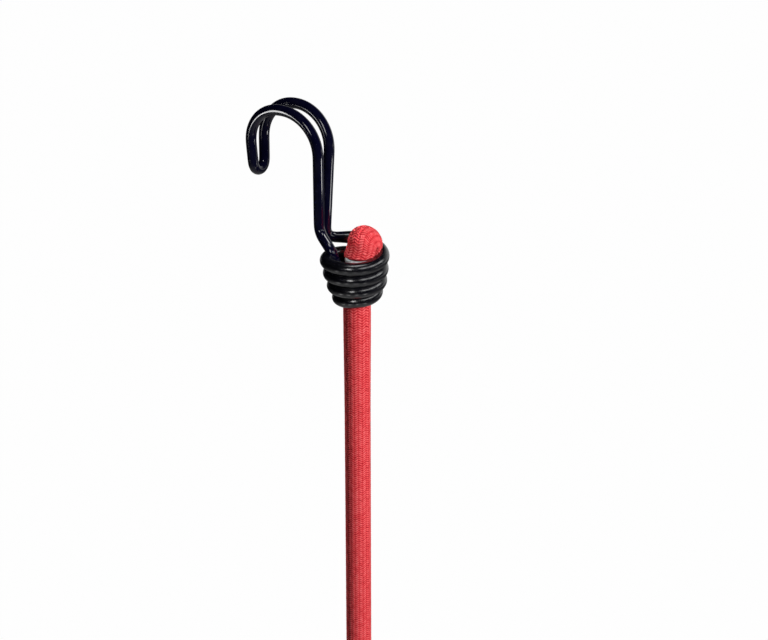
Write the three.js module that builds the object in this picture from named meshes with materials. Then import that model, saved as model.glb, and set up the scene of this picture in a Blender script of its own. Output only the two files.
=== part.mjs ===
// A short bungee cord: one braided elastic cord with a coated twin-wire hook at each end.
// Each hook is a single wire, wound at its foot into a cone that grips the folded and crimped end of the cord.
// Millimetres, +Z up. The origin is the seat under the upper hook's crown, midway between its two wires.
import * as THREE from "three";

// Overall length, outside to outside of the two crowns (the 12 inch size)
const HOOK_TO_HOOK = 305;

// Clearances
const FACE_GAP = 0.3; // between faces and pieces that meet
const SKIN_FIT = 0.1; // between a core and the skin drawn over it
const TURN_GAP = 0.48; // between neighbouring runs of the hook's own wire

// Hook wire and its coat
const WIRE_DIAMETER = 2.7;
const COAT_WALL = 0.35;
const WIRE_SIDES = 6;

// Hook, measured from the foot of the cone and from the cord's axis
const CROWN_HEIGHT = 65.2; // wire centre at the crown
const CROWN_FLAT = 1.6; // straight run at the crown, where a bar sits
const THROAT_WIDTH = 22.1; // clear width between shank and free leg
const CROWN_SPREAD = 8.2; // between the centres of the two wires at the crown
const TIP_SPREAD = 7.4; // the same at the tip
const TIP_DROP = 24.2; // from the crown down to the bottom of the tip
const SHANK_OFFSET = 13; // cord axis to shank, at the crown
const SHANK_LEAN = 0.5; // how much further out the shank stands at its foot
const ARM_HEIGHT = 22; // where the rear wire turns from the cone into the shank
const ARM_BEND = 3.5;
const KNEE_HEIGHT = 25; // where the front wire turns from the shank towards the mouth
const KNEE_BEND = 5;

// Cone, from its gripping turn at the foot up to its mouth
const GRIP_CLEARANCE = 0.2; // round the cord in the gripping turn
const GRIP_HEIGHT = 3.1; // wire centre at the start of the gripping turn
const GRIP_ARC = 0.28; // turns that keep the gripping radius
const START_ANGLE = 202; // degrees from +X, where the wire starts
const FULL_TURNS = 3;
const MOUTH_BORE = 8.1; // clear radius of the uppermost turn
const TURN_STEP = 0.8; // growth of the radius per turn below the mouth
const MOUTH_LIFT = 3; // extra rise per turn once the mouth is reached
const COIL_STEPS = 16; // rings per turn

// End of the front wire, tucked into the mouth
const TUCK_ANGLE = 216; // degrees from +X
const TUCK_HEIGHT = 17.8; // where it turns straight down
const TUCK_BEND = 3.5;
const TUCK_LENGTH = 4.6;

// Cord
const CORD_DIAMETER = 8.8;
const SHEATH_WALL = 0.8;
const CORD_SIDES = 12;
const STRAND_RING = 6; // latex strands round the middle one
const STRAND_SIDES = 8;
const CORD_STEP = 22; // length of one step of the tube
const NECK_LENGTH = 74; // flexing stretch next to the lower hook

// Folded end of the cord and its crimp ring
const FOLD_ANGLE = 98; // degrees from +X, from the standing part to the tail
const SPLIT_HEIGHT = 4; // inside the gripping turn, where the free stretch ends and the folded end starts
const CRIMP_TOP = 18.2;
const CRIMP_HEIGHT = 3.6;
const CRIMP_WALL = 0.9;
const CRIMP_INSET = 0.55; // how far the fold stands out over the crimp ring
const CRIMP_CHAMFER = 0.25;
const CRIMP_SIDES = 24;
const FOLD_NECK = 2.2; // height over which the fold swells above the crimp
const FOLD_STRAIGHT = 1.6; // full section below the round top
const FOLD_INNER = 0.8; // from the fold's middle plane to the centre line of either part
const TAIL_BELOW = 2; // tail showing below the crimp
const FOLD_STEPS = 8;

// Colours of the finished surfaces
const MATERIALS = {
  vinyl: new THREE.MeshStandardMaterial({ color: 0x08080c, roughness: 0.18, metalness: 0 }),
  steel: new THREE.MeshStandardMaterial({ color: 0x9a9c9f, roughness: 0.4, metalness: 1 }),
  zinc: new THREE.MeshStandardMaterial({ color: 0xc9ccd0, roughness: 0.25, metalness: 1 }),
  braid: new THREE.MeshStandardMaterial({ color: 0xc9242d, roughness: 0.75, metalness: 0 }),
  latex: new THREE.MeshStandardMaterial({ color: 0xd8c9a8, roughness: 0.7, metalness: 0 }),
};

// Sizes worked out from the ones above
const wireRadius = WIRE_DIAMETER / 2;
const coatRadius = wireRadius + SKIN_FIT + COAT_WALL;
const coatDiameter = 2 * coatRadius;
const cordRadius = CORD_DIAMETER / 2;
const pitch = coatDiameter + TURN_GAP;
const gripRadius = cordRadius + GRIP_CLEARANCE + coatRadius;
const mouthRadius = MOUTH_BORE + coatRadius;
const halfThroat = (THROAT_WIDTH + coatDiameter) / 2;
const seatDrop = coatRadius * Math.cos(Math.PI / WIRE_SIDES); // a flat of the faceted wire faces the bar
const seatX = -SHANK_OFFSET - halfThroat;
const seatHeight = CROWN_HEIGHT - seatDrop;
const freeCord = HOOK_TO_HOOK - 2 * (CROWN_HEIGHT + coatRadius); // between the feet of the two cones

const radians = THREE.MathUtils.degToRad;
const point = (x, y, z) => new THREE.Vector3(x, y, z);
const heading = (degrees) => point(Math.cos(radians(degrees)), Math.sin(radians(degrees)), 0);

// Value at t on a line through stations [t, value].
function between(stations, t) {
  const last = stations.length - 1;
  if (t <= stations[0][0]) return stations[0][1];
  if (t >= stations[last][0]) return stations[last][1];
  const i = stations.findIndex((s) => s[0] > t);
  const [t0, v0] = stations[i - 1];
  const [t1, v1] = stations[i];
  return v0 + ((v1 - v0) * (t - t0)) / (t1 - t0);
}

// A closed surface through rings of points, each ring counter-clockwise about the way the rings run.
// With a second set of rings it is a tube, open at both ends.
function skin(outer, inner) {
  const sides = outer[0].length;
  const rings = outer.length;
  const positions = [];
  const index = [];
  outer.flat().forEach((p) => positions.push(p.x, p.y, p.z));
  const wall = (first, flip) => {
    for (let i = 0; i < rings - 1; i++) {
      for (let j = 0; j < sides; j++) {
        const a = first + i * sides + j;
        const b = first + i * sides + ((j + 1) % sides);
        const c = b + sides;
        const d = a + sides;
        index.push(...(flip ? [a, c, b, a, d, c] : [a, b, c, a, c, d]));
      }
    }
  };
  wall(0, false);
  const lastRing = (rings - 1) * sides;
  if (inner) {
    const first = rings * sides;
    inner.flat().forEach((p) => positions.push(p.x, p.y, p.z));
    wall(first, true);
    for (let j = 0; j < sides; j++) {
      const k = (j + 1) % sides;
      index.push(j, first + j, k, k, first + j, first + k);
      const [o, p, q, r] = [lastRing + j, lastRing + k, first + lastRing + j, first + lastRing + k];
      index.push(o, p, q, p, r, q);
    }
  } else {
    [0, lastRing].forEach((start, end) => {
      const middle = point(0, 0, 0);
      outer[end ? rings - 1 : 0].forEach((p) => middle.addScaledVector(p, 1 / sides));
      const centre = positions.length / 3;
      positions.push(middle.x, middle.y, middle.z);
      for (let j = 0; j < sides; j++) {
        const k = (j + 1) % sides;
        index.push(...(end ? [centre, start + j, start + k] : [centre, start + k, start + j]));
      }
    });
  }
  const geometry = new THREE.BufferGeometry();
  geometry.setAttribute("position", new THREE.Float32BufferAttribute(positions, 3));
  geometry.setIndex(index);
  geometry.computeVertexNormals();
  return geometry;
}

// Stations {at, along} on straight runs between corners, each corner rounded to its bend radius.
function bentRun(corners, stepDegrees) {
  const stations = [];
  corners.forEach(({ at, bend }, i) => {
    const before = corners[i - 1];
    const after = corners[i + 1];
    const way = before && at.clone().sub(before.at).normalize();
    const onward = after && after.at.clone().sub(at).normalize();
    if (!before || !after) {
      stations.push({ at: at.clone(), along: way || onward });
      return;
    }
    const turn = way.angleTo(onward);
    const cut = bend * Math.tan(turn / 2);
    const start = at.clone().addScaledVector(way, -cut);
    const axis = way.clone().cross(onward).normalize();
    const centre = start.clone().addScaledVector(axis.clone().cross(way), bend);
    const steps = Math.max(2, Math.round(THREE.MathUtils.radToDeg(turn) / stepDegrees));
    for (let k = 0; k <= steps; k++) {
      const angle = (turn * k) / steps;
      const arm = start.clone().sub(centre).applyAxisAngle(axis, angle);
      stations.push({ at: centre.clone().add(arm), along: way.clone().applyAxisAngle(axis, angle) });
    }
  });
  return stations;
}

// The hook's wire, from its start in the gripping turn to its end in the mouth.
function hookRoute() {
  const foot = point(-SHANK_OFFSET - SHANK_LEAN, pitch / 2, ARM_HEIGHT);
  // The coil ends where its tangent meets the foot of the shank.
  const footAngle = THREE.MathUtils.radToDeg(Math.atan2(foot.y, foot.x));
  const reach = THREE.MathUtils.radToDeg(Math.acos(mouthRadius / Math.hypot(foot.x, foot.y)));
  const turns = FULL_TURNS + (((footAngle - reach - START_ANGLE + 720) % 360) / 360);
  const mouthTurn = GRIP_ARC + FULL_TURNS;
  const radii = [[GRIP_ARC, gripRadius]];
  for (let k = 1; k <= FULL_TURNS; k++) {
    radii.push([GRIP_ARC + k, mouthRadius - (FULL_TURNS - k) * TURN_STEP]);
  }
  const coilPoint = (turn) => {
    const lift = MOUTH_LIFT * Math.max(0, turn - mouthTurn);
    return heading(START_ANGLE + 360 * turn)
      .multiplyScalar(between(radii, turn))
      .setZ(GRIP_HEIGHT + pitch * turn + lift);
  };
  const nudge = 0.01;
  const coilWay = (turn) => coilPoint(turn + nudge).sub(coilPoint(turn - nudge)).normalize();
  const coil = [];
  const steps = Math.round(turns * COIL_STEPS);
  for (let k = 0; k < steps; k++) {
    const turn = (turns * k) / steps;
    coil.push({ at: coilPoint(turn), along: coilWay(turn) });
  }
  const wireStart = coil[0].at.clone().addScaledVector(coil[0].along, -coatDiameter);
  coil.unshift({ at: wireStart, along: coil[0].along.clone() });

  const leg = seatX - halfThroat;
  const crownBend = halfThroat - CROWN_FLAT / 2;
  const tipZ = CROWN_HEIGHT - TIP_DROP;
  const tuck = heading(TUCK_ANGLE).multiplyScalar(tuckRadius());
  const shank = (side) => ({ at: point(-SHANK_OFFSET, (side * CROWN_SPREAD) / 2, CROWN_HEIGHT), bend: crownBend });
  const shoulder = (side) => ({ at: point(leg, (side * CROWN_SPREAD) / 2, CROWN_HEIGHT), bend: crownBend });
  const tip = (side) => ({ at: point(leg, (side * TIP_SPREAD) / 2, tipZ), bend: TIP_SPREAD / 2 - 0.01 });
  const run = bentRun(
    [
      { at: coilPoint(turns) },
      { at: foot, bend: ARM_BEND },
      shank(1),
      shoulder(1),
      tip(1),
      tip(-1),
      shoulder(-1),
      shank(-1),
      { at: point(foot.x, -foot.y, KNEE_HEIGHT), bend: KNEE_BEND },
      { at: tuck.clone().setZ(TUCK_HEIGHT), bend: TUCK_BEND },
      { at: tuck.clone().setZ(TUCK_HEIGHT - TUCK_LENGTH) },
    ],
    18,
  );
  return [...coil, ...run];
}

// Radius at which the wire's end stands clear inside the mouth.
function tuckRadius() {
  return MOUTH_BORE - TURN_STEP / 2 - TURN_GAP - coatRadius;
}

// Frames across and up each station, carried along the route without twisting, with a flat facing in at the crown.
function carriedFrames(route) {
  let across = point(0, 0, 1);
  const frames = route.map(({ at, along }) => {
    across = across.clone().addScaledVector(along, -across.dot(along)).normalize();
    return { at, along, across };
  });
  const crown = frames.find(({ at, along }) => at.z > CROWN_HEIGHT - TURN_GAP && along.x < -0.999);
  const up = point(0, 0, 1);
  const roll = Math.atan2(up.dot(crown.along.clone().cross(crown.across)), up.dot(crown.across));
  return frames.map(({ at, along, across: old }) => {
    const first = old.clone().applyAxisAngle(along, roll);
    return { at, first, second: along.clone().cross(first) };
  });
}

function wireRings(frames, radius) {
  return frames.map(({ at, first, second }) =>
    Array.from({ length: WIRE_SIDES }, (_, j) => {
      const angle = (2 * Math.PI * (j + 0.5)) / WIRE_SIDES;
      return at
        .clone()
        .addScaledVector(first, radius * Math.cos(angle))
        .addScaledVector(second, radius * Math.sin(angle));
    }),
  );
}

// Least air between two runs of the coated wire, measured on points along its route.
function leastGap(route) {
  const points = [];
  route.slice(1).forEach(({ at }, i) => {
    const from = route[i].at;
    const pieces = Math.ceil(at.distanceTo(from) / (coatRadius / 2));
    for (let k = 0; k < pieces; k++) points.push(from.clone().lerp(at, k / pieces));
  });
  let walked = 0;
  const travel = points.map((p, i) => (walked += i ? p.distanceTo(points[i - 1]) : 0));
  let least = Infinity;
  points.forEach((p, i) => {
    for (let j = i + 1; j < points.length; j++) {
      if (travel[j] - travel[i] > 2 * coatDiameter) least = Math.min(least, p.distanceTo(points[j]));
    }
  });
  return least - coatDiameter;
}

// Place and size of the crimp ring and the fold, which share the mouth with the tucked end of the wire.
function foldSizes() {
  const tuckInside = tuckRadius() - coatRadius;
  const foldRadius = (tuckInside + MOUTH_BORE - 2 * FACE_GAP + CRIMP_INSET) / 2;
  const crimpRadius = foldRadius - CRIMP_INSET;
  const offset = MOUTH_BORE - FACE_GAP - foldRadius;
  return {
    foldRadius,
    crimpRadius,
    crimpBore: crimpRadius - CRIMP_WALL,
    axis: heading(TUCK_ANGLE + 180).multiplyScalar(offset),
  };
}

// Rings of the folded end: up through the cone, squeezed in the crimp, over the top and down as the tail.
// inset draws every ring in from the sheath's outer surface.
function foldRings(inset) {
  const { foldRadius, crimpBore, axis } = foldSizes();
  const outward = heading(FOLD_ANGLE); // from the standing part to the tail
  const sideways = point(0, 0, 1).cross(outward);
  const crimpBottom = CRIMP_TOP - CRIMP_HEIGHT;
  const topCentre = CRIMP_TOP + FOLD_NECK + FOLD_STRAIGHT;
  // One of the fold's two parts, which together fill a circle.
  const half = (radius) => {
    const out = radius - FOLD_INNER;
    return { middle: FOLD_INNER, wide: Math.sqrt(out * radius), out, in: FOLD_INNER - FACE_GAP / 2 };
  };
  const round = { middle: 0, wide: cordRadius, out: cordRadius, in: cordRadius };
  const pressed = half(crimpBore * Math.cos(Math.PI / CRIMP_SIDES) - SKIN_FIT);
  const swollen = half(foldRadius);
  const mix = (a, b, t) => {
    const s = THREE.MathUtils.smoothstep(t, 0, 1);
    return Object.fromEntries(Object.keys(a).map((k) => [k, a[k] + (b[k] - a[k]) * s]));
  };
  // One ring about centre, with its outer side along out and its run square to it.
  const ring = (section, centre, out) => {
    const raised = Math.max(0, inset - section.in); // where the inset passes the centre line, the flat side rises
    const above = section.out - inset - raised;
    const below = Math.max(0, section.in - inset);
    return Array.from({ length: CORD_SIDES }, (_, j) => {
      const angle = (2 * Math.PI * j) / CORD_SIDES;
      const height = Math.sin(angle) > 0 ? above : below;
      return centre
        .clone()
        .addScaledVector(sideways, (section.wide - inset) * Math.cos(angle))
        .addScaledVector(out, raised + height * Math.sin(angle));
    });
  };
  const leg = (section, share, height, sign) => {
    const centre = axis.clone().multiplyScalar(share).addScaledVector(outward, sign * section.middle);
    return ring(section, centre.setZ(height), outward.clone().multiplyScalar(sign));
  };
  const rings = [];
  for (let k = 0; k <= FOLD_STEPS; k++) {
    const t = k / FOLD_STEPS;
    const height = SPLIT_HEIGHT + (crimpBottom - SPLIT_HEIGHT) * t;
    rings.push(leg(mix(round, pressed, t), THREE.MathUtils.smoothstep(t, 0, 1), height, -1));
  }
  const neckSteps = FOLD_STEPS / 2;
  for (let k = 0; k <= neckSteps; k++) {
    const t = k / neckSteps;
    rings.push(leg(mix(pressed, swollen, t), 1, CRIMP_TOP + FOLD_NECK * t, -1));
  }
  for (let k = 0; k <= FOLD_STEPS; k++) {
    const angle = (Math.PI * k) / FOLD_STEPS;
    const out = outward.clone().multiplyScalar(-Math.cos(angle)).setZ(Math.sin(angle));
    rings.push(ring(swollen, axis.clone().setZ(topCentre).addScaledVector(out, swollen.middle), out));
  }
  for (let k = neckSteps; k >= 0; k--) {
    const t = k / neckSteps;
    rings.push(leg(mix(pressed, swollen, t), 1, CRIMP_TOP + FOLD_NECK * t, 1));
  }
  rings.push(leg(pressed, 1, crimpBottom - TAIL_BELOW, 1));
  return rings;
}

// A band of metal with its edges chamfered, pressed round the two parts of the fold.
function crimpGeometry() {
  const { crimpRadius, crimpBore } = foldSizes();
  const half = CRIMP_HEIGHT / 2;
  const profile = [
    new THREE.Vector2(crimpBore, -half),
    new THREE.Vector2(crimpRadius - CRIMP_CHAMFER, -half),
    new THREE.Vector2(crimpRadius, -half + CRIMP_CHAMFER),
    new THREE.Vector2(crimpRadius, half - CRIMP_CHAMFER),
    new THREE.Vector2(crimpRadius - CRIMP_CHAMFER, half),
    new THREE.Vector2(crimpBore, half),
    new THREE.Vector2(crimpBore, -half),
  ];
  return new THREE.LatheGeometry(profile, CRIMP_SIDES).rotateX(Math.PI / 2);
}

function mesh(name, geometry, material) {
  const made = new THREE.Mesh(geometry, material);
  made.name = name;
  return made;
}

// One end of the cord, with the foot of its cone at height 0 and the cord's axis on Z.
function cordEnd(end, frames) {
  const group = new THREE.Group();
  const coatBore = wireRadius + SKIN_FIT;
  const coat = skin(wireRings(frames, coatRadius), wireRings(frames, coatBore));
  const crimp = mesh(`${end}_crimp_ring`, crimpGeometry(), MATERIALS.zinc);
  crimp.position.copy(foldSizes().axis).setZ(CRIMP_TOP - CRIMP_HEIGHT / 2);
  group.add(
    mesh(`${end}_hook_coating`, coat, MATERIALS.vinyl),
    mesh(`${end}_hook_wire`, skin(wireRings(frames, wireRadius)), MATERIALS.steel),
    crimp,
    mesh(`${end}_fold_sheath`, skin(foldRings(0), foldRings(SHEATH_WALL)), MATERIALS.braid),
    mesh(`${end}_fold_core`, skin(foldRings(SHEATH_WALL + FACE_GAP)), MATERIALS.latex),
  );
  return group;
}

function circle(radius, sides, x = 0, y = 0) {
  return Array.from({ length: sides }, (_, j) => {
    const angle = (2 * Math.PI * (j + 0.5)) / sides;
    return new THREE.Vector2(x + radius * Math.cos(angle), y + radius * Math.sin(angle));
  });
}

// A straight stretch of cord between two heights: the sheath, and the strands packed round a middle one.
function cordStretch(name, bottom, top) {
  const group = new THREE.Group();
  const length = top - bottom;
  const run = { depth: length, steps: Math.ceil(length / CORD_STEP), bevelEnabled: false };
  const bore = cordRadius - SHEATH_WALL;
  const section = new THREE.Shape(circle(cordRadius, CORD_SIDES));
  section.holes.push(new THREE.Path(circle(bore, CORD_SIDES)));
  group.add(mesh(`${name}_sheath`, new THREE.ExtrudeGeometry(section, run), MATERIALS.braid));
  const clear = bore * Math.cos(Math.PI / CORD_SIDES) - SKIN_FIT;
  const strandRadius = (clear - SKIN_FIT) / 3;
  const spacing = 2 * strandRadius + SKIN_FIT;
  for (let k = 0; k <= STRAND_RING; k++) {
    const out = k === 0 ? point(0, 0, 0) : heading((360 * k) / STRAND_RING).multiplyScalar(spacing);
    const strand = new THREE.Shape(circle(strandRadius, STRAND_SIDES, out.x, out.y));
    const body = new THREE.ExtrudeGeometry(strand, run);
    group.add(mesh(`${name}_strand_${k + 1}`, body, MATERIALS.latex));
  }
  group.position.z = bottom;
  return group;
}

const route = hookRoute();
const frames = carriedFrames(route);
console.log(`least gap of the hook wire to itself: ${leastGap(route).toFixed(2)} mm`);

// The upper end as it hangs, the lower end turned over about X, and the two stretches of cord between them.
const upper = cordEnd("upper", frames);
const lower = cordEnd("lower", frames);
lower.rotation.x = Math.PI;
lower.position.z = -freeCord;
const neckBottom = -freeCord - SPLIT_HEIGHT + FACE_GAP;
const neckTop = neckBottom + NECK_LENGTH;
const stretches = [
  cordStretch("cord", neckTop + FACE_GAP, SPLIT_HEIGHT - FACE_GAP),
  cordStretch("neck", neckBottom, neckTop),
];
const bungee = new THREE.Group();
bungee.add(upper, lower, ...stretches);
bungee.position.set(-seatX, 0, -seatHeight);

const part = new THREE.Group();
part.add(bungee);
export default part;
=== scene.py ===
"""Studio scene of a short bungee cord: a red braided elastic cord with a black coated wire hook at each end.

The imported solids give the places, and the pieces made here give the braid, the coat and the metal their
look. Metres, +Z up, in the part's own frame. One end of the cord is made with the foot of its cone at the
origin and the cord's axis on Z, and is then put in place twice.
"""

import math

import bpy
import numpy as np
from mathutils import Matrix, Vector


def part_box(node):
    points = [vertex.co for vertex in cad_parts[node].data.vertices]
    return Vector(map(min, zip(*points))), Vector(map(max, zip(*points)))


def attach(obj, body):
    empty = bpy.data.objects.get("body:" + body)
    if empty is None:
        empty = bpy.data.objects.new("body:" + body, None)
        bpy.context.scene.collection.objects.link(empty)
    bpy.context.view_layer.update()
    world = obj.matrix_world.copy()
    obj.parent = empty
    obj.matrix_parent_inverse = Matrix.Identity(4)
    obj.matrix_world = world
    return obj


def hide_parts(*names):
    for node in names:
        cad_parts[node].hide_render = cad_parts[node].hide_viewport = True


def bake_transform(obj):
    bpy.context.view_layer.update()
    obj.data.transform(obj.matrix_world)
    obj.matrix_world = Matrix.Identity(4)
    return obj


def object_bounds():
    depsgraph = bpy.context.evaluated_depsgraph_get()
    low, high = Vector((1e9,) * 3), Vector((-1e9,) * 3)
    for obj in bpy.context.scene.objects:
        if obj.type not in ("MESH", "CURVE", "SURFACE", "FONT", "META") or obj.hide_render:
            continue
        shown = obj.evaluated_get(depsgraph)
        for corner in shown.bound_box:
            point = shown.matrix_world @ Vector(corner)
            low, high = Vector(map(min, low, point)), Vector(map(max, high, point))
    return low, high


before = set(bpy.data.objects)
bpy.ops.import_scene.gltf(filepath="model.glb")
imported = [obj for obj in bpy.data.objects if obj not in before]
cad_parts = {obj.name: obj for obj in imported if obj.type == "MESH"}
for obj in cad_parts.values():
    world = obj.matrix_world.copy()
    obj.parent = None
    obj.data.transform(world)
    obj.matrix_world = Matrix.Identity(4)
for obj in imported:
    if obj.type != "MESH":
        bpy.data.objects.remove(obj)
cad_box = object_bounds()
MM = 0.001

# Hook wire and coat
WIRE_RADIUS = 1.38 * MM
WIRE_SIDES = 12
WIRE_EDGE = ((0.1 * MM, 0.96), (0.16 * MM, 0.86))  # rings past an end: distance and share of the radius
COAT_RADIUS = 1.8 * MM
COAT_SIDES = 40
COAT_LIP = ((0.12 * MM, 0.98), (0.22 * MM, 0.92), (0.27 * MM, 0.84))
SOCKET_PLAY = 1.04
SOCKET_DEPTH = 1.2 * MM
COIL_COAT_RADIUS = 2.18 * MM  # the turns of the cone lie against each other
COAT_CHANGE = 8 * MM  # length over which the coat thins after the cone
WIRE_PITCH = 4.13 * MM
ROUTE_STEP = 0.35 * MM
ROUTE_PASSES = 20
BEND_POINTS = 24
ODD_WAY = (0.3, 0.2, 0.9)  # no line starts along this

# Hook, from the foot of the cone and the cord's axis
REAR_CROWN = 64.4 * MM
FRONT_CROWN = 63.6 * MM
SHANK_BEND = 13.6 * MM
LEG_BEND = 11.8 * MM
CROWN_SPREAD = 8.3 * MM
REAR_SHANK = 12.3 * MM  # places of the bends, from the cord's axis
FRONT_SHANK = 12.0 * MM
REAR_LEG = 39.2 * MM
FRONT_LEG = 39.7 * MM
TIP_PLACE = 38.5 * MM
TIP_HEIGHT = 41.1 * MM
TIP_SPREAD = 6 * MM
FOOT_PLACE = 13.5 * MM
FOOT_SPREAD = 3.6 * MM
ARM_HEIGHT = 21.2 * MM
ARM_BEND = 2.6 * MM
KNEE_HEIGHT = 23.8 * MM
KNEE_BEND = 4 * MM

# Cone
GRIP_RADIUS = 6.17 * MM
GRIP_HEIGHT = 3.15 * MM
GRIP_ARC = 0.28
START_ANGLE = 202
FULL_TURNS = 3
COIL_POINTS = 300
MOUTH_RADIUS = 9.48 * MM
TURN_STEP = 0.71 * MM
MOUTH_LIFT = 2.1 * MM
CONE_TILT = 0.105  # the cone sits a little crooked on the cord, lower towards TILT_ANGLE
TILT_ANGLE = 302
SIDE_TILT = 0.018  # more with each turn
SIDE_LEAN = 0.24 * MM
SIDE_ANGLE = 32

# End of the front wire in the mouth
TUCK_ANGLE = 214
RIM_RADIUS = 8.3 * MM
RIM_HEIGHT = 19.2 * MM
TUCK_BEND = 3 * MM
TUCK_RADIUS = 6.2 * MM
TUCK_HEIGHT = 13.2 * MM

# Cord
CORD_RADIUS = 4.34 * MM
CORD_FULLER = 0.2 * MM  # at a cone, and easing off from there
FULLER_START = 4 * MM
FULLER_LENGTH = 40 * MM
SPLIT_HEIGHT = 4 * MM
FACE_GAP = 0.3 * MM
BLEND_START = 6 * MM
STRAND_COUNT = 7
STRAND_RADIUS = 1.06 * MM
STRAND_SPACING = 2.22 * MM
STRAND_SIDES = 12
STRAND_RINGS = 48

# Braid
BRAID_COLUMNS = 20
BRAID_RISE = 0.72 * MM
BRAID_RELIEF = 0.3 * MM
STITCH_NEAR = 0.93 * MM  # height of a stitch at the cone
STITCH_FAR = 0.78 * MM  # and along the rest of the cord
STITCH_CHANGE = 45 * MM
PITCH_SAMPLES = 2000
ROWS_PER_STITCH = 5
STEPS_PER_COLUMN = 5
WOBBLE = 0.07  # of a row
WOBBLE_WAVES = ((1, 31), (2, 17), (3, 11), (5, 7))  # waves round the cord, and rows to each wave along it
YARN_DIP = 0.3
RELIEF_MIDDLE = 0.6
UNEVEN_RELIEF = 0.12
CROWDED = 0.7  # rows closer than this share of a stitch lose some of their relief
ROW_MARGIN = 2
FOLD_SEED = 11
CORD_SEED = 5

# Fold
FOLD_ANGLE = 84
FOLD_OFFSET = 1.25 * MM
FOLD_RADIUS = 5.84 * MM
FOLD_RISE = 1.22  # height of the dome against its radius
FOLD_SQUARE = 0.85  # below 1, the dome is squarer than round
FOLD_LEAN = 1.45 * MM
LEAN_ANGLE = 32
LEAN_HEIGHT = 5 * MM
LEAN_RETURN = 0.45
FOLD_INNER = 0.8 * MM
FOLD_SQUEEZED = 4.25 * MM
FOLD_NECK = 0.8 * MM
FOLD_STRAIGHT = 2.5 * MM
TAIL_BELOW = 2 * MM
RISE_RINGS = 24
SWELL_RINGS = 12
DOME_RINGS = 40
FOLD_CORE_INSET = 1.0 * MM
FOLD_CORE_SIDES = 24

# Crimp ring
CRIMP_TOP = 17.1 * MM
CRIMP_HEIGHT = 3.6 * MM
CRIMP_RADIUS = 5.2 * MM
CRIMP_BORE = 4.39 * MM
CRIMP_ROUND = 0.4 * MM
CRIMP_SHOULDER = 0.9 * MM  # the upper edge is rolled in
CRIMP_ROLL = 0.7  # shares of the wall that the upper edge's outer and inner rounding take
CRIMP_LIP = 0.25
CRIMP_WAIST = 0.12 * MM
CORNER_POINTS = 6
CRIMP_STEPS = 96

# Colours
VINYL_LEVELS = (0.3, 0.5, 0.7)
BLACK_VINYL = ((0.001, 0.001, 0.009), (0.002, 0.002, 0.012), (0.004, 0.004, 0.014))
WORN_VINYL = ((0.002, 0.002, 0.004), (0.003, 0.003, 0.005), (0.005, 0.005, 0.007))
# Braid colours from valley to crest: the valley and slope colours are painted shade in the yarn's hollows,
# the crest colours painted highlight on the yarn's tops
BRAID_VALLEY_SHADE = (0.2, 0.002, 0.006)
BRAID_SLOPE = (0.5, 0.012, 0.02)
BRAID_CREST = (0.87, 0.088, 0.098)
BRAID_CREST_HIGHLIGHT = (0.98, 0.22, 0.22)
LATEX_DARK = (0.6, 0.5, 0.33)
LATEX_PALE = (0.75, 0.66, 0.47)
STEEL = (0.55, 0.56, 0.57)
PLATING = (0.9, 0.9, 0.91)
DULLED = 0.8  # of a metal's colour
PALE_FLOOR = (0.7, 0.7, 0.7, 1)
WHITE = (1, 1, 1, 1)

# Grain of the materials, in noise per metre
VINYL_MOTTLE = 300
VINYL_SMEAR = 700
VINYL_RIPPLE = 200
BRAID_FLECK = 1500
BRAID_FIBRE = 3000
FILAMENTS = 6  # in a yarn
LATEX_MOTTLE = 500
LATEX_SMEAR = 900
LATEX_SKIN = 1800
METAL_MOTTLE = 700
METAL_SMEAR = 1200
STEEL_SCRATCH = 2500
PLATING_SCRATCH = 1600

# How much the yarn's relief (as painted shade in the valleys and painted highlight on the crests), flecks
# and uneven dye count in the braid's colour
RELIEF_SHADING_SHARE = 0.7
FLECK_SHARE = 0.12
DYE_SHARE = 0.12

# Camera, from the photograph: the aim is the middle of the picture
CAMERA_AZIMUTH = 32
CAMERA_ELEVATION = 20
CAMERA_DISTANCE = 0.58
CAMERA_AIM = (34.25 * MM, 3.4 * MM, -68.0 * MM)
VIEW_WIDTH = 254.2 * MM
SENSOR_WIDTH = 36

# Floor and surroundings
FLOOR_SIZE = 30
FLOOR_DROP = 0.6
FLOOR_BACK = (2, 6)  # between these the floor turns white to mirrors
FLOOR_WHITE = 0.99
WORLD_BACK = (0.75, 1)  # the same for the world, as a share of straight back
AMBIENT = 0.01

# Light
LIGHT_AIM = (10 * MM, 0, -30 * MM)
LIGHT_DISTANCE = 0.9
# Small cards close to the object, each with a grid: aim, distance and spread of the beam
CONE_AIM = (26 * MM, 0, -52 * MM)
CONE_BEAM = (CONE_AIM, 0.15, math.radians(16))
CONE_PLACES = ((-35, -36), (0, -36), (35, -36), (70, -36))  # azimuth, elevation
SIDE_BEAM = (CONE_AIM, 0.1, math.radians(36))
SIDE_PLACES = ((62, 30), (94, 30), (126, 30))
OVERHEAD_BEAM = (CONE_AIM, 0.06, math.radians(36))
CROWN_BEAM = ((0, 0, 8 * MM), 0.1, math.radians(21))
CROWN_PLACES = ((-33, -30), (-33, -23), (-33, -16), (-33, -8))
SHANK_BEAM = ((13 * MM, 0, -15 * MM), 0.15, math.radians(20))
RISER_BEAM = ((15.7 * MM, -3.2 * MM, -42 * MM), 0.05, math.radians(24))
FOLD_BEAM = ((27 * MM, 0, -41 * MM), 0.12, math.radians(16))


def heading(degrees):
    """Level unit vector at that angle from +X."""
    angle = math.radians(degrees)
    return np.array([math.cos(angle), math.sin(angle), 0.0])


def unit(vector):
    return vector / np.linalg.norm(vector)


def smoothstep(t):
    t = np.clip(t, 0, 1)
    return t * t * (3 - 2 * t)


def turned(vector, axis, angle):
    """vector turned about a unit axis."""
    across = np.cross(axis, vector)
    lengthwise = axis * np.dot(axis, vector)
    return vector * math.cos(angle) + across * math.sin(angle) + lengthwise * (1 - math.cos(angle))


def circle(steps):
    """Angles of that many even steps round a circle."""
    return np.linspace(0, 2 * math.pi, steps, endpoint=False)


# Routes


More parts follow.
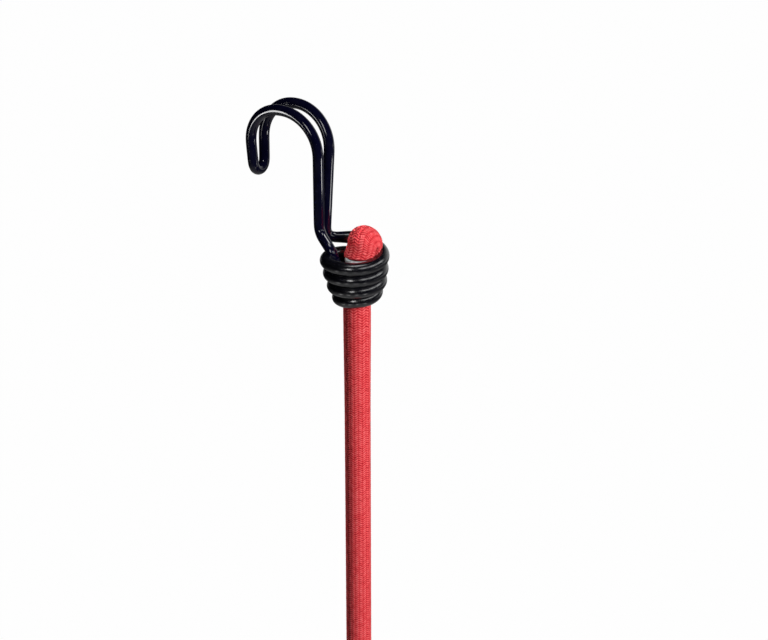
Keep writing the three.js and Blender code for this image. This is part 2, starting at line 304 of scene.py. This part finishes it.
def rounded_run(corners):
    """Points on straight runs between corners (point, bend radius), with each corner rounded."""
    points = [corners[0][0]]
    for (before, _), (at, bend), (after, _) in zip(corners, corners[1:], corners[2:]):
        way, onward = unit(at - before), unit(after - at)
        turn = math.acos(np.clip(np.dot(way, onward), -1, 1))
        axis = unit(np.cross(way, onward))
        start = at - way * bend * math.tan(turn / 2)
        centre = start + np.cross(axis, way) * bend
        for angle in np.linspace(0, turn, BEND_POINTS):
            points.append(centre + turned(start - centre, axis, angle))
    points.append(corners[-1][0])
    return np.array(points)


def travelled(points):
    """Distance walked along a line of points."""
    steps = np.linalg.norm(np.diff(points, axis=0), axis=1)
    return np.concatenate([[0], np.cumsum(steps)])


def resampled(points, step):
    """The line with its points at about an even step."""
    walk = travelled(points)
    even = np.linspace(0, walk[-1], max(2, round(walk[-1] / step) + 1))
    return np.stack([np.interp(even, walk, points[:, k]) for k in range(3)], axis=1)


def eased(points, passes):
    """The line with its sudden changes of curvature evened out, and its ends kept."""
    for _ in range(passes):
        inner = 0.25 * points[:-2] + 0.5 * points[1:-1] + 0.25 * points[2:]
        points = np.vstack([points[:1], inner, points[-1:]])
    return points


def hook_route():
    """Centre line of the hook's wire, from the gripping turn to the end in the mouth.

    Also gives how far each point is clear of the cone, from 0 to 1.
    """
    foot = np.array([-FOOT_PLACE, FOOT_SPREAD / 2, ARM_HEIGHT])
    foot_angle = math.degrees(math.atan2(foot[1], foot[0]))
    reach = math.degrees(math.acos(MOUTH_RADIUS / math.hypot(foot[0], foot[1])))
    turns = FULL_TURNS + ((foot_angle - reach - START_ANGLE) % 360) / 360
    knots = [GRIP_ARC + k for k in range(FULL_TURNS + 1)]
    radii = [GRIP_RADIUS]
    for k in range(1, FULL_TURNS + 1):
        radii.append(MOUTH_RADIUS - (FULL_TURNS - k) * TURN_STEP)

    def coil_point(turn):
        height = GRIP_HEIGHT + WIRE_PITCH * turn + MOUTH_LIFT * max(0, turn - knots[-1])
        across = heading(START_ANGLE + 360 * turn) * np.interp(turn, knots, radii)
        tilt = CONE_TILT * heading(TILT_ANGLE) + SIDE_TILT * turn * heading(SIDE_ANGLE)
        return across - SIDE_LEAN * turn * heading(SIDE_ANGLE) + [0, 0, height - np.dot(across, tilt)]

    coil = np.array([coil_point(t) for t in np.linspace(0, turns, COIL_POINTS)])
    lead = coil[0] - unit(coil[1] - coil[0]) * 2 * COAT_RADIUS
    rear, tip = CROWN_SPREAD / 2, TIP_SPREAD / 2
    corners = [
        (coil[-1], 0),
        (foot, ARM_BEND),
        (np.array([-REAR_SHANK, rear, REAR_CROWN]), SHANK_BEND),
        (np.array([-REAR_LEG, rear, REAR_CROWN]), LEG_BEND),
        (np.array([-TIP_PLACE, tip, TIP_HEIGHT]), tip),
        (np.array([-TIP_PLACE, -tip, TIP_HEIGHT]), tip),
        (np.array([-FRONT_LEG, -rear, FRONT_CROWN]), LEG_BEND),
        (np.array([-FRONT_SHANK, -rear, FRONT_CROWN]), SHANK_BEND),
        (np.array([foot[0], -foot[1], KNEE_HEIGHT]), KNEE_BEND),
        (heading(TUCK_ANGLE) * RIM_RADIUS + [0, 0, RIM_HEIGHT], TUCK_BEND),
        (heading(TUCK_ANGLE) * TUCK_RADIUS + [0, 0, TUCK_HEIGHT], 0),
    ]
    whole = np.vstack([lead, coil, rounded_run(corners)[1:]])
    points = eased(resampled(whole, ROUTE_STEP), ROUTE_PASSES)
    coil_length = travelled(coil)[-1]
    return points, smoothstep((travelled(points) - coil_length) / COAT_CHANGE)


def carried_frames(points):
    """The way along a line at each point, and two directions square to it, carried without twisting."""
    along = np.gradient(points, axis=0)
    along /= np.linalg.norm(along, axis=1)[:, None]
    first = np.cross(along[0], ODD_WAY)
    firsts = []
    for way in along:
        first = unit(first - way * np.dot(first, way))
        firsts.append(first)
    firsts = np.array(firsts)
    return along, firsts, np.cross(along, firsts)


# Meshes


def ring_faces(rings, sides, loop=False):
    """Quads between rings of points.

    They face out where each ring runs counter-clockwise about the way from ring to ring.
    """
    i = np.arange(rings if loop else rings - 1)[:, None]
    j = np.arange(sides)[None, :]
    k = (j + 1) % sides
    n = (i + 1) % rings
    quads = np.stack([i * sides + j, i * sides + k, n * sides + k, n * sides + j], axis=-1)
    return quads.reshape(-1, 4).tolist()


def closed_faces(rings, sides):
    """The same with an end face on the first and the last ring."""
    last = (rings - 1) * sides
    return ring_faces(rings, sides) + [list(range(sides))[::-1], [last + j for j in range(sides)]]


def new_object(name, points, faces, material):
    mesh = bpy.data.meshes.new(name)
    mesh.from_pydata(points.reshape(-1, 3).tolist(), [], faces)
    mesh.shade_smooth()
    mesh.materials.append(material)
    made = bpy.data.objects.new(name, mesh)
    bpy.context.collection.objects.link(made)
    return made


def give_attribute(made, name, values):
    """A number at each point of the mesh, for its material."""
    attribute = made.data.attributes.new(name, "FLOAT", "POINT")
    attribute.data.foreach_set("value", values.astype(np.float32).ravel())


def tube_rings(points, radii, sides, rim=()):
    """Rings round a line. rim adds rings at both ends, each (distance past the end, share of the radius)."""
    along, first, second = carried_frames(points)

    def past_end(index, sign):
        ahead = sign * along[index]
        return [(points[index] + out * ahead, radii[index] * share, index) for out, share in rim]

    spans = past_end(0, -1)[::-1]
    spans += [(point, radius, i) for i, (point, radius) in enumerate(zip(points, radii))]
    spans += past_end(-1, 1)
    angles = circle(sides)
    rings = []
    for centre, radius, index in spans:
        across = np.outer(np.cos(angles), first[index]) + np.outer(np.sin(angles), second[index])
        rings.append(centre + radius * across)
    return np.array(rings)


def coat_object(name, materials):
    """The hook's coat, with a soft lip at each end and a socket in which the wire's end shows.

    The first material is for the hook and the second for the turns of the cone.
    """
    points, clear = hook_route()
    radii = COIL_COAT_RADIUS + (COAT_RADIUS - COIL_COAT_RADIUS) * clear
    bore = SOCKET_PLAY * WIRE_RADIUS / COIL_COAT_RADIUS
    lip = [*COAT_LIP, (COAT_LIP[-1][0], bore), (-SOCKET_DEPTH, bore)]
    rings = tube_rings(points, radii, COAT_SIDES, lip)
    made = new_object(name, rings, closed_faces(len(rings), COAT_SIDES), materials[0])
    made.data.materials.append(materials[1])
    scuffed = np.concatenate([np.ones(len(lip)), 1 - clear, np.zeros(len(lip))])
    give_attribute(made, "scuffed", np.repeat(scuffed, COAT_SIDES))
    for face in made.data.polygons:
        face.material_index = int(scuffed[face.vertices[0] // COAT_SIDES] > 0.5)
    return made


def wire_object(name, material):
    points, _ = hook_route()
    rings = tube_rings(points, np.full(len(points), WIRE_RADIUS), WIRE_SIDES, WIRE_EDGE)
    return new_object(name, rings, closed_faces(len(rings), WIRE_SIDES), material)


def crimp_object(name, material):
    """A plated band with rounded edges and a shallow waist where it was pressed on."""
    half = CRIMP_HEIGHT / 2
    corner = np.linspace(0, math.pi / 2, CORNER_POINTS)
    wall = CRIMP_RADIUS - CRIMP_BORE
    outline = []
    for radius, sign_r, sign_z, wide, tall in (
        (CRIMP_RADIUS, 1, -1, CRIMP_ROUND, CRIMP_ROUND),
        (CRIMP_RADIUS, 1, 1, CRIMP_ROLL * wall, CRIMP_SHOULDER),
        (CRIMP_BORE, -1, 1, CRIMP_LIP * wall, CRIMP_LIP * wall),
        (CRIMP_BORE, -1, -1, CRIMP_ROUND, CRIMP_ROUND),
    ):
        turn = corner if sign_r == sign_z else corner[::-1]
        for angle in turn:
            r = radius - sign_r * wide * (1 - math.cos(angle))
            outline.append((r, sign_z * (half - tall * (1 - math.sin(angle)))))
    outline.insert(CORNER_POINTS, (CRIMP_RADIUS - CRIMP_WAIST, 0))
    angles = circle(CRIMP_STEPS)
    rings = np.array([[(r * math.cos(a), r * math.sin(a), z) for r, z in outline] for a in angles])
    centre = heading(TUCK_ANGLE + 180) * FOLD_OFFSET + [0, 0, CRIMP_TOP - half]
    return new_object(name, rings + centre, ring_faces(len(rings), len(outline), loop=True), material)


# Braid


def stitch_rows(walk):
    """Number of stitch rows passed at that distance from a cone. The pitch eases from near to far."""
    even = np.linspace(0, max(walk.max(), STITCH_CHANGE), PITCH_SAMPLES)
    pitch = STITCH_NEAR + (STITCH_FAR - STITCH_NEAR) * smoothstep(even / STITCH_CHANGE)
    rows = np.concatenate([[0], np.cumsum(np.diff(even) / (0.5 * (pitch[1:] + pitch[:-1])))])
    return np.interp(walk, even, rows)


def braided_object(name, base, rows, material, seed):
    """A braided skin over a smooth base grid [ring, step]. rows counts the stitches along it, ring by ring.

    The yarns run in columns that slant left and right by turns, so that each row is a zigzag round the cord.
    """
    rings, steps, _ = base.shape
    column = np.arange(steps) * BRAID_COLUMNS / steps
    index = np.floor(column).astype(int)
    share = column - index
    slant = np.where(index % 2 == 0, 1, -1) * (share - 0.5)
    pick = np.random.default_rng(seed)
    wobble = 0
    for waves, reach in WOBBLE_WAVES:
        phase = pick.random() * 2 * math.pi
        round_it = waves * column[None, :] * 2 * math.pi / BRAID_COLUMNS
        along_it = rows[:, None] / reach * 2 * math.pi
        wobble = wobble + WOBBLE * np.sin(round_it + along_it + phase)
    row = rows[:, None] + wobble - slant[None, :] * BRAID_RISE / STITCH_FAR
    across = row - np.floor(row)
    yarn = np.sqrt(np.clip(1 - (2 * across - 1) ** 2, 0, 1))
    dip = 1 - YARN_DIP * np.abs(2 * share - 1)[None, :] ** 4
    relief = yarn * dip
    uneven = pick.random((int(rows.max() - rows.min()) + 3 * ROW_MARGIN, BRAID_COLUMNS))
    stitch = np.floor(row - rows.min()).astype(int) + ROW_MARGIN
    tint = uneven[stitch, np.broadcast_to(index, row.shape)]

    around = np.roll(base, -1, axis=1) - np.roll(base, 1, axis=1)
    along = np.gradient(base, axis=0)
    normal = np.cross(around, along)
    normal /= np.linalg.norm(normal, axis=2)[:, :, None]
    room = smoothstep(np.linalg.norm(along, axis=2) * ROWS_PER_STITCH / (CROWDED * STITCH_FAR))
    lift = room * BRAID_RELIEF * (relief - RELIEF_MIDDLE + UNEVEN_RELIEF * (tint - 0.5))
    points = base + normal * lift[:, :, None]
    made = new_object(name, points, closed_faces(rings, steps), material)
    # relief also sets the braid's painted shade in the valleys and painted highlight on the crests
    give_attribute(made, "relief", relief)
    give_attribute(made, "row", row)
    give_attribute(made, "tint", tint)
    return made


def cord_radius(walk):
    """The cord is a little fuller where it comes out of a cone."""
    return CORD_RADIUS + CORD_FULLER * (1 - smoothstep((walk - FULLER_START) / FULLER_LENGTH))


def straight_braid(name, axis_x, top, bottom, feet, material, seed):
    """A braided stretch between two heights. feet are the heights of the two cones' feet."""
    steps = BRAID_COLUMNS * STEPS_PER_COLUMN
    count = round((top - bottom) / (STITCH_FAR / ROWS_PER_STITCH))
    heights = np.linspace(bottom, top, count)
    from_top = feet[0] + SPLIT_HEIGHT - heights
    from_bottom = heights - feet[1] + SPLIT_HEIGHT
    radius = np.maximum(cord_radius(from_top), cord_radius(from_bottom))
    angles = circle(steps)
    base = np.zeros((count, steps, 3))
    base[:, :, 0] = axis_x + radius[:, None] * np.cos(angles)
    base[:, :, 1] = radius[:, None] * np.sin(angles)
    base[:, :, 2] = heights[:, None]
    return braided_object(name, base, -stitch_rows(from_top), material, seed)


def fold_grid(steps, inset=0.0):
    """Base of the folded end, ring by ring: up through the cone and the crimp, over the top and down."""
    outward = heading(FOLD_ANGLE)
    sideways = np.cross([0, 0, 1], outward)
    axis = heading(TUCK_ANGLE + 180) * FOLD_OFFSET
    crimp_bottom = CRIMP_TOP - CRIMP_HEIGHT
    top_centre = CRIMP_TOP + FOLD_NECK + FOLD_STRAIGHT

    def half(radius):
        """One leg of the fold: its middle's offset, half width, and height outwards and inwards."""
        out = radius - FOLD_INNER
        return np.array([FOLD_INNER, math.sqrt(out * radius), out, FOLD_INNER - FACE_GAP / 2])

    plain = np.array([0, CORD_RADIUS, CORD_RADIUS, CORD_RADIUS])
    pressed, swollen = half(FOLD_SQUEEZED), half(FOLD_RADIUS)
    angles = circle(steps)

    def ring(section, centre, out):
        _, wide, above, below = section
        raised = max(0, inset - below)
        height = np.where(np.sin(angles) > 0, above - inset - raised, max(0, below - inset))
        side = np.outer((wide - inset) * np.cos(angles), sideways)
        return centre + side + np.outer(raised + height * np.sin(angles), out)

    def leg(section, share, height, sign):
        return ring(section, axis * share + outward * sign * section[0] + [0, 0, height], outward * sign)

    rings = []
    for t in np.linspace(0, 1, RISE_RINGS):
        section = plain + (pressed - plain) * smoothstep(t)
        rings.append(leg(section, smoothstep(t), SPLIT_HEIGHT + (crimp_bottom - SPLIT_HEIGHT) * t, -1))
    swell = [(smoothstep(t), CRIMP_TOP + FOLD_NECK * t) for t in np.linspace(0, 1, SWELL_RINGS)]
    for t, height in swell:
        rings.append(leg(pressed + (swollen - pressed) * t, 1, height, -1))
    for angle in np.linspace(0, math.pi, DOME_RINGS):
        level = math.copysign(abs(math.cos(angle)) ** FOLD_SQUARE, math.cos(angle))
        out = -outward * level + np.array([0, 0, FOLD_RISE * math.sin(angle) ** FOLD_SQUARE])
        rings.append(ring(swollen, axis + [0, 0, top_centre] + out * swollen[0], out))
    for t, height in swell[::-1]:
        rings.append(leg(pressed + (swollen - pressed) * t, 1, height, 1))
    rings.append(leg(pressed, 1, crimp_bottom - TAIL_BELOW, 1))
    rings = np.array(rings)
    raised = (rings[:, :, 2] - CRIMP_TOP) / LEAN_HEIGHT
    lean = np.sin(np.clip(raised, 0, 1) * math.pi / 2) - LEAN_RETURN * np.clip(raised - 1, 0, 1) ** 2
    return rings + FOLD_LEAN * lean[:, :, None] * heading(LEAN_ANGLE)


def fold_object(name, material, seed):
    """The braided fold, with its rings spaced evenly along its outer side."""
    steps = BRAID_COLUMNS * STEPS_PER_COLUMN
    coarse = fold_grid(steps)
    outer_side = steps // 4
    walk = travelled(coarse[:, outer_side])
    even = np.linspace(0, walk[-1], round(walk[-1] / (STITCH_NEAR / ROWS_PER_STITCH)))
    base = np.zeros((len(even), steps, 3))
    for j in range(steps):
        for k in range(3):
            base[:, j, k] = np.interp(even, walk, coarse[:, j, k])
    return braided_object(name, base, even / STITCH_NEAR, material, seed)


def fold_core_object(name, material):
    rings = fold_grid(FOLD_CORE_SIDES, FOLD_CORE_INSET)
    return new_object(name, rings, closed_faces(len(rings), FOLD_CORE_SIDES), material)


def strands_object(name, axis_x, top, bottom, material):
    """The latex strands of one stretch, packed round a middle one."""
    heights = np.linspace(bottom, top, STRAND_RINGS)
    apart = 360 / (STRAND_COUNT - 1)
    points, faces = [], []
    for k in range(STRAND_COUNT):
        middle = heading(apart * k) * (STRAND_SPACING if k else 0) + [axis_x, 0, 0]
        line = np.array([middle + [0, 0, z] for z in heights])
        rings = tube_rings(line, np.full(len(line), STRAND_RADIUS), STRAND_SIDES)
        first = len(points) * len(rings) * STRAND_SIDES
        faces += [[first + v for v in face] for face in closed_faces(len(rings), STRAND_SIDES)]
        points.append(rings)
    return new_object(name, np.array(points), faces, material)


# Materials


class Nodes:
    """A material, or the world's tree, and short ways to add and join its nodes."""

    def __init__(self, name, tree=None):
        self.tree = tree
        if tree is None:
            self.material = bpy.data.materials.new(name)
            self.material.use_nodes = True
            self.tree = self.material.node_tree
            self.shader = self.tree.nodes["Principled BSDF"]

    def add(self, kind, **settings):
        node = self.tree.nodes.new(kind)
        for key, value in settings.items():
            setattr(node, key, value)
        return node

    def join(self, output, socket):
        self.tree.links.new(output, socket)

    def place(self, space):
        return self.add("ShaderNodeTexCoord").outputs[space]

    def noise(self, scale, detail=3.0):
        node = self.add("ShaderNodeTexNoise")
        node.inputs["Scale"].default_value = scale
        node.inputs["Detail"].default_value = detail
        self.join(self.place("Object"), node.inputs["Vector"])
        return node.outputs["Fac"]

    def ramp(self, source, stops):
        node = self.add("ShaderNodeValToRGB")
        elements = node.color_ramp.elements
        while len(elements) < len(stops):
            elements.new(0.5)
        for element, (position, colour) in zip(elements, stops):
            element.position = position
            element.color = (*colour, 1)
        self.join(source, node.inputs["Fac"])
        return node.outputs["Color"]

    def spread(self, source, low, high, between=(0, 1)):
        """A value that goes from low to high as the source goes between two others."""
        node = self.add("ShaderNodeMapRange")
        node.inputs["From Min"].default_value = between[0]
        node.inputs["From Max"].default_value = between[1]
        node.inputs["To Min"].default_value = low
        node.inputs["To Max"].default_value = high
        self.join(source, node.inputs["Value"])
        return node.outputs["Result"]

    def math(self, operation, first, second=0):
        node = self.add("ShaderNodeMath", operation=operation)
        for value, socket in zip((first, second), node.inputs):
            if isinstance(value, (int, float)):
                socket.default_value = value
            else:
                self.join(value, socket)
        return node.outputs["Value"]

    def attribute(self, name):
        return self.add("ShaderNodeAttribute", attribute_name=name).outputs["Fac"]

    def bump(self, source, strength, distance):
        node = self.add("ShaderNodeBump")
        node.inputs["Strength"].default_value = strength
        node.inputs["Distance"].default_value = distance
        self.join(source, node.inputs["Height"])
        self.join(node.outputs["Normal"], self.shader.inputs["Normal"])

    def colour(self, output):
        self.join(output, self.shader.inputs["Base Color"])

    def roughness(self, output):
        self.join(output, self.shader.inputs["Roughness"])

    def set(self, **values):
        for key, value in values.items():
            self.shader.inputs[key.replace("_", " ")].default_value = value


def vinyl_material(name, colours, dulling, specular):
    """Dipped black vinyl with a slight ripple, duller where its scuffed attribute rises from 0 to 1."""
    n = Nodes(name)
    n.colour(n.ramp(n.noise(VINYL_MOTTLE), list(zip(VINYL_LEVELS, colours))))
    dull = n.math("MULTIPLY", n.attribute("scuffed"), dulling)
    n.roughness(n.math("ADD", n.spread(n.noise(VINYL_SMEAR, detail=2), low=0.07, high=0.1), dull))
    n.set(Specular_IOR_Level=specular)
    n.bump(n.noise(VINYL_RIPPLE, detail=1), strength=0.01, distance=0.1 * MM)
    return n.material


def braid_material():
    """Woven polyester: yarn crests made bright with painted highlight, valleys made deep with painted shade,
    fine filaments along each yarn.
    """
    n = Nodes("red_braid")
    tint = n.attribute("tint")
    shape = n.math("MULTIPLY", n.attribute("relief"), RELIEF_SHADING_SHARE)
    flecks = n.math("MULTIPLY", n.noise(BRAID_FLECK, detail=5), FLECK_SHARE)
    dye = n.math("MULTIPLY", tint, DYE_SHARE)
    level = n.math("ADD", shape, n.math("ADD", flecks, dye))
    # The yarn's relief turns into colour here: painted shade in the valleys, painted highlight on the crests
    stops = [(0.11, BRAID_VALLEY_SHADE), (0.41, BRAID_SLOPE), (0.71, BRAID_CREST), (0.9, BRAID_CREST_HIGHLIGHT)]
    n.colour(n.ramp(level, stops))
    n.roughness(n.spread(tint, low=0.55, high=0.75))
    n.set(Sheen_Weight=0.04, Sheen_Roughness=0.4, Specular_IOR_Level=0.0)
    filaments = n.math("SINE", n.math("MULTIPLY", n.attribute("row"), 2 * math.pi * FILAMENTS))
    fibres = n.math("ADD", filaments, n.noise(BRAID_FIBRE, detail=4))
    n.bump(fibres, strength=0.25, distance=0.03 * MM)
    return n.material


def latex_material():
    n = Nodes("latex")
    n.colour(n.ramp(n.noise(LATEX_MOTTLE), [(0.3, LATEX_DARK), (0.7, LATEX_PALE)]))
    n.roughness(n.spread(n.noise(LATEX_SMEAR), low=0.5, high=0.75))
    n.bump(n.noise(LATEX_SKIN), strength=0.2, distance=0.1 * MM)
    return n.material


def metal_material(name, colour, scratches, smoothest, roughest, metallic):
    """Bare metal with faint wear in its gloss."""
    n = Nodes(name)
    dull = tuple(DULLED * c for c in colour)
    n.colour(n.ramp(n.noise(METAL_MOTTLE, detail=5), [(0.35, dull), (0.65, colour)]))
    n.roughness(n.spread(n.noise(METAL_SMEAR, detail=5), smoothest, roughest))
    n.set(Metallic=metallic)
    n.bump(n.noise(scratches), strength=0.15, distance=0.05 * MM)
    return n.material


# Stage


def seen_white(n, space, between):
    """How white the surroundings are to a ray: all white to the camera, and to mirrors at the back."""
    place = n.add("ShaderNodeSeparateXYZ")
    n.join(n.place(space), place.inputs["Vector"])
    back = n.spread(place.outputs["Y"], 0, 1, between)
    path = n.add("ShaderNodeLightPath")
    mirrored = n.math("MULTIPLY", path.outputs["Is Glossy Ray"], back)
    direct = n.math("MAXIMUM", path.outputs["Is Camera Ray"], path.outputs["Is Transmission Ray"])
    return n.math("MAXIMUM", mirrored, direct)


def add_floor(height):
    """A pale floor far below the hanging cord."""
    bpy.ops.mesh.primitive_plane_add(size=FLOOR_SIZE, location=(0, 0, height))
    floor = bpy.context.object
    floor.name = "floor"
    n = Nodes("pale_floor")
    n.set(Base_Color=PALE_FLOOR, Roughness=0.9, Specular_IOR_Level=0.1)
    white = n.add("ShaderNodeEmission")
    mix = n.add("ShaderNodeMixShader")
    n.join(n.math("MULTIPLY", seen_white(n, "Object", FLOOR_BACK), FLOOR_WHITE), mix.inputs["Fac"])
    n.join(n.shader.outputs["BSDF"], mix.inputs[1])
    n.join(white.outputs["Emission"], mix.inputs[2])
    n.join(mix.outputs["Shader"], n.tree.nodes["Material Output"].inputs["Surface"])
    floor.data.materials.append(n.material)


def add_world():
    """White to the camera and at the back, and a plain low level elsewhere."""
    world = bpy.data.worlds.new("studio")
    bpy.context.scene.world = world
    world.use_nodes = True
    n = Nodes("studio", world.node_tree)
    path = n.add("ShaderNodeLightPath")
    ambient = n.math("MULTIPLY", path.outputs["Is Diffuse Ray"], AMBIENT)
    level = n.math("MAXIMUM", seen_white(n, "Generated", WORLD_BACK), ambient)
    background = n.tree.nodes["Background"]
    n.join(level, background.inputs["Strength"])
    background.inputs["Color"].default_value = WHITE


def direction(azimuth, elevation):
    """Unit vector from the object towards that azimuth, counted as the camera's is, and elevation."""
    a, e = math.radians(azimuth), math.radians(elevation)
    return Vector((math.sin(a) * math.cos(e), -math.cos(a) * math.cos(e), math.sin(e)))


def set_aimed(made, aim, towards, distance):
    """Puts a light or the camera at that distance from its aim, facing it, and into the scene."""
    made.location = Vector(aim) + towards * distance
    made.rotation_euler = towards.to_track_quat("Z", "Y").to_euler()
    bpy.context.collection.objects.link(made)


def add_light(name, azimuth, elevation, size, brightness, diffuse=True, mirrored=True, beam=None):
    """A softbox of that size, at a brightness that doesn't change with its size or its spread.

    beam, as (aim, distance, spread), is for a card close to the object behind a grid that narrows its light.
    """
    aim, distance, spread = beam or (LIGHT_AIM, LIGHT_DISTANCE, math.pi)
    data = bpy.data.lights.new(name, "AREA")
    data.shape = "RECTANGLE"
    data.size, data.size_y = size
    data.energy = brightness * math.pi * size[0] * size[1] * (1 - spread / 2 / math.tan(spread / 2))
    data.spread = spread
    light = bpy.data.objects.new(name, data)
    light.visible_diffuse = diffuse
    light.visible_glossy = mirrored
    light.visible_camera = False
    set_aimed(light, aim, direction(azimuth, elevation), distance)


def add_cards(name, places, size, brightness, beam):
    """Small cards at places (azimuth, elevation) that only gloss shows."""
    for k, (azimuth, elevation) in enumerate(places):
        add_light(f"{name}_{k + 1}", azimuth, elevation, size, brightness, diffuse=False, beam=beam)


def add_camera():
    data = bpy.data.cameras.new("camera")
    data.sensor_width = SENSOR_WIDTH
    data.lens = SENSOR_WIDTH * CAMERA_DISTANCE / VIEW_WIDTH
    camera = bpy.data.objects.new("camera", data)
    set_aimed(camera, CAMERA_AIM, direction(CAMERA_AZIMUTH, CAMERA_ELEVATION), CAMERA_DISTANCE)
    bpy.context.scene.camera = camera


# The object


def stand_for(piece, node):
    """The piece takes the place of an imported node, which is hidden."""
    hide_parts(node)
    return piece


cord_low, cord_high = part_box("cord_sheath")
neck_low, neck_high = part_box("neck_sheath")
axis_x = (cord_low.x + cord_high.x) / 2
upper_foot = cord_high.z - SPLIT_HEIGHT + FACE_GAP
lower_foot = neck_low.z + SPLIT_HEIGHT - FACE_GAP
places = {
    "upper": Matrix.Translation((axis_x, 0, upper_foot)),
    "lower": Matrix.Translation((axis_x, 0, lower_foot)) @ Matrix.Rotation(math.pi, 4, "X"),
}

glossy = vinyl_material("black_vinyl", BLACK_VINYL, dulling=0.26, specular=0.4)
worn = vinyl_material("worn_vinyl", WORN_VINYL, dulling=0.14, specular=0.8)
braid = braid_material()
latex = latex_material()
steel = metal_material("wire_steel", STEEL, STEEL_SCRATCH, smoothest=0.3, roughest=0.45, metallic=1.0)
plated = metal_material("crimp_metal", PLATING, PLATING_SCRATCH, smoothest=0.3, roughest=0.42, metallic=0.25)

for end, place in places.items():
    made = [
        stand_for(coat_object(f"{end}_hook_coat", (glossy, worn)), f"{end}_hook_coating"),
        stand_for(wire_object(f"{end}_hook_core", steel), f"{end}_hook_wire"),
        stand_for(crimp_object(f"{end}_crimp_band", plated), f"{end}_crimp_ring"),
        stand_for(fold_object(f"{end}_fold_braid", braid, FOLD_SEED), f"{end}_fold_sheath"),
        stand_for(fold_core_object(f"{end}_fold_latex", latex), f"{end}_fold_core"),
    ]
    for piece in made:
        piece.data.transform(place)
        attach(piece, f"{end}_end")

feet = (upper_foot, lower_foot)
stretches = {
    "cord": (cord_high.z, neck_high.z, "neck", cord_high.z - BLEND_START, neck_high.z),
    "neck": (neck_high.z, neck_low.z, "lower_end", neck_high.z, lower_foot),
}
for body, (top, bottom, onward, blend_top, blend_bottom) in stretches.items():
    skin = straight_braid(f"{body}_braid", axis_x, top, bottom, feet, braid, CORD_SEED)
    stand_for(skin, f"{body}_sheath")
    core = strands_object(f"{body}_strands", axis_x, top, bottom, latex)
    for k in range(STRAND_COUNT):
        stand_for(core, f"{body}_strand_{k + 1}")
    for piece in (skin, core):
        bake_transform(piece)

add_floor(cad_box[0].z - FLOOR_DROP)
add_world()
add_light("key", 75, 18, size=(0.5, 0.6), brightness=10.1, mirrored=False)
add_light("back_fill", 240, 15, size=(0.8, 0.8), brightness=5, mirrored=False)
add_light("top", 30, 78, size=(0.4, 0.4), brightness=3.4, mirrored=False)
add_light("overhead", 42, 76, size=(37 * MM, 15 * MM), brightness=14, diffuse=False, beam=OVERHEAD_BEAM)
add_cards("side_card", SIDE_PLACES, size=(56 * MM, 30 * MM), brightness=6, beam=SIDE_BEAM)
add_light("front", 14, 21, size=(0.2, 0.3), brightness=10, diffuse=False)
add_light("fold_card", -50, 35, size=(20 * MM, 20 * MM), brightness=80, mirrored=False, beam=FOLD_BEAM)
add_light("shank_card", 108, -20, size=(40 * MM, 24 * MM), brightness=24, diffuse=False, beam=SHANK_BEAM)
add_light("riser_card", 150, 70, size=(15 * MM, 15 * MM), brightness=22, diffuse=False, beam=RISER_BEAM)
add_cards("cone_card", CONE_PLACES, size=(30 * MM, 24 * MM), brightness=8, beam=CONE_BEAM)
add_cards("crown_card", CROWN_PLACES, size=(16 * MM, 14 * MM), brightness=32, beam=CROWN_BEAM)
add_camera()
bpy.context.scene.view_settings.view_transform = "Standard"
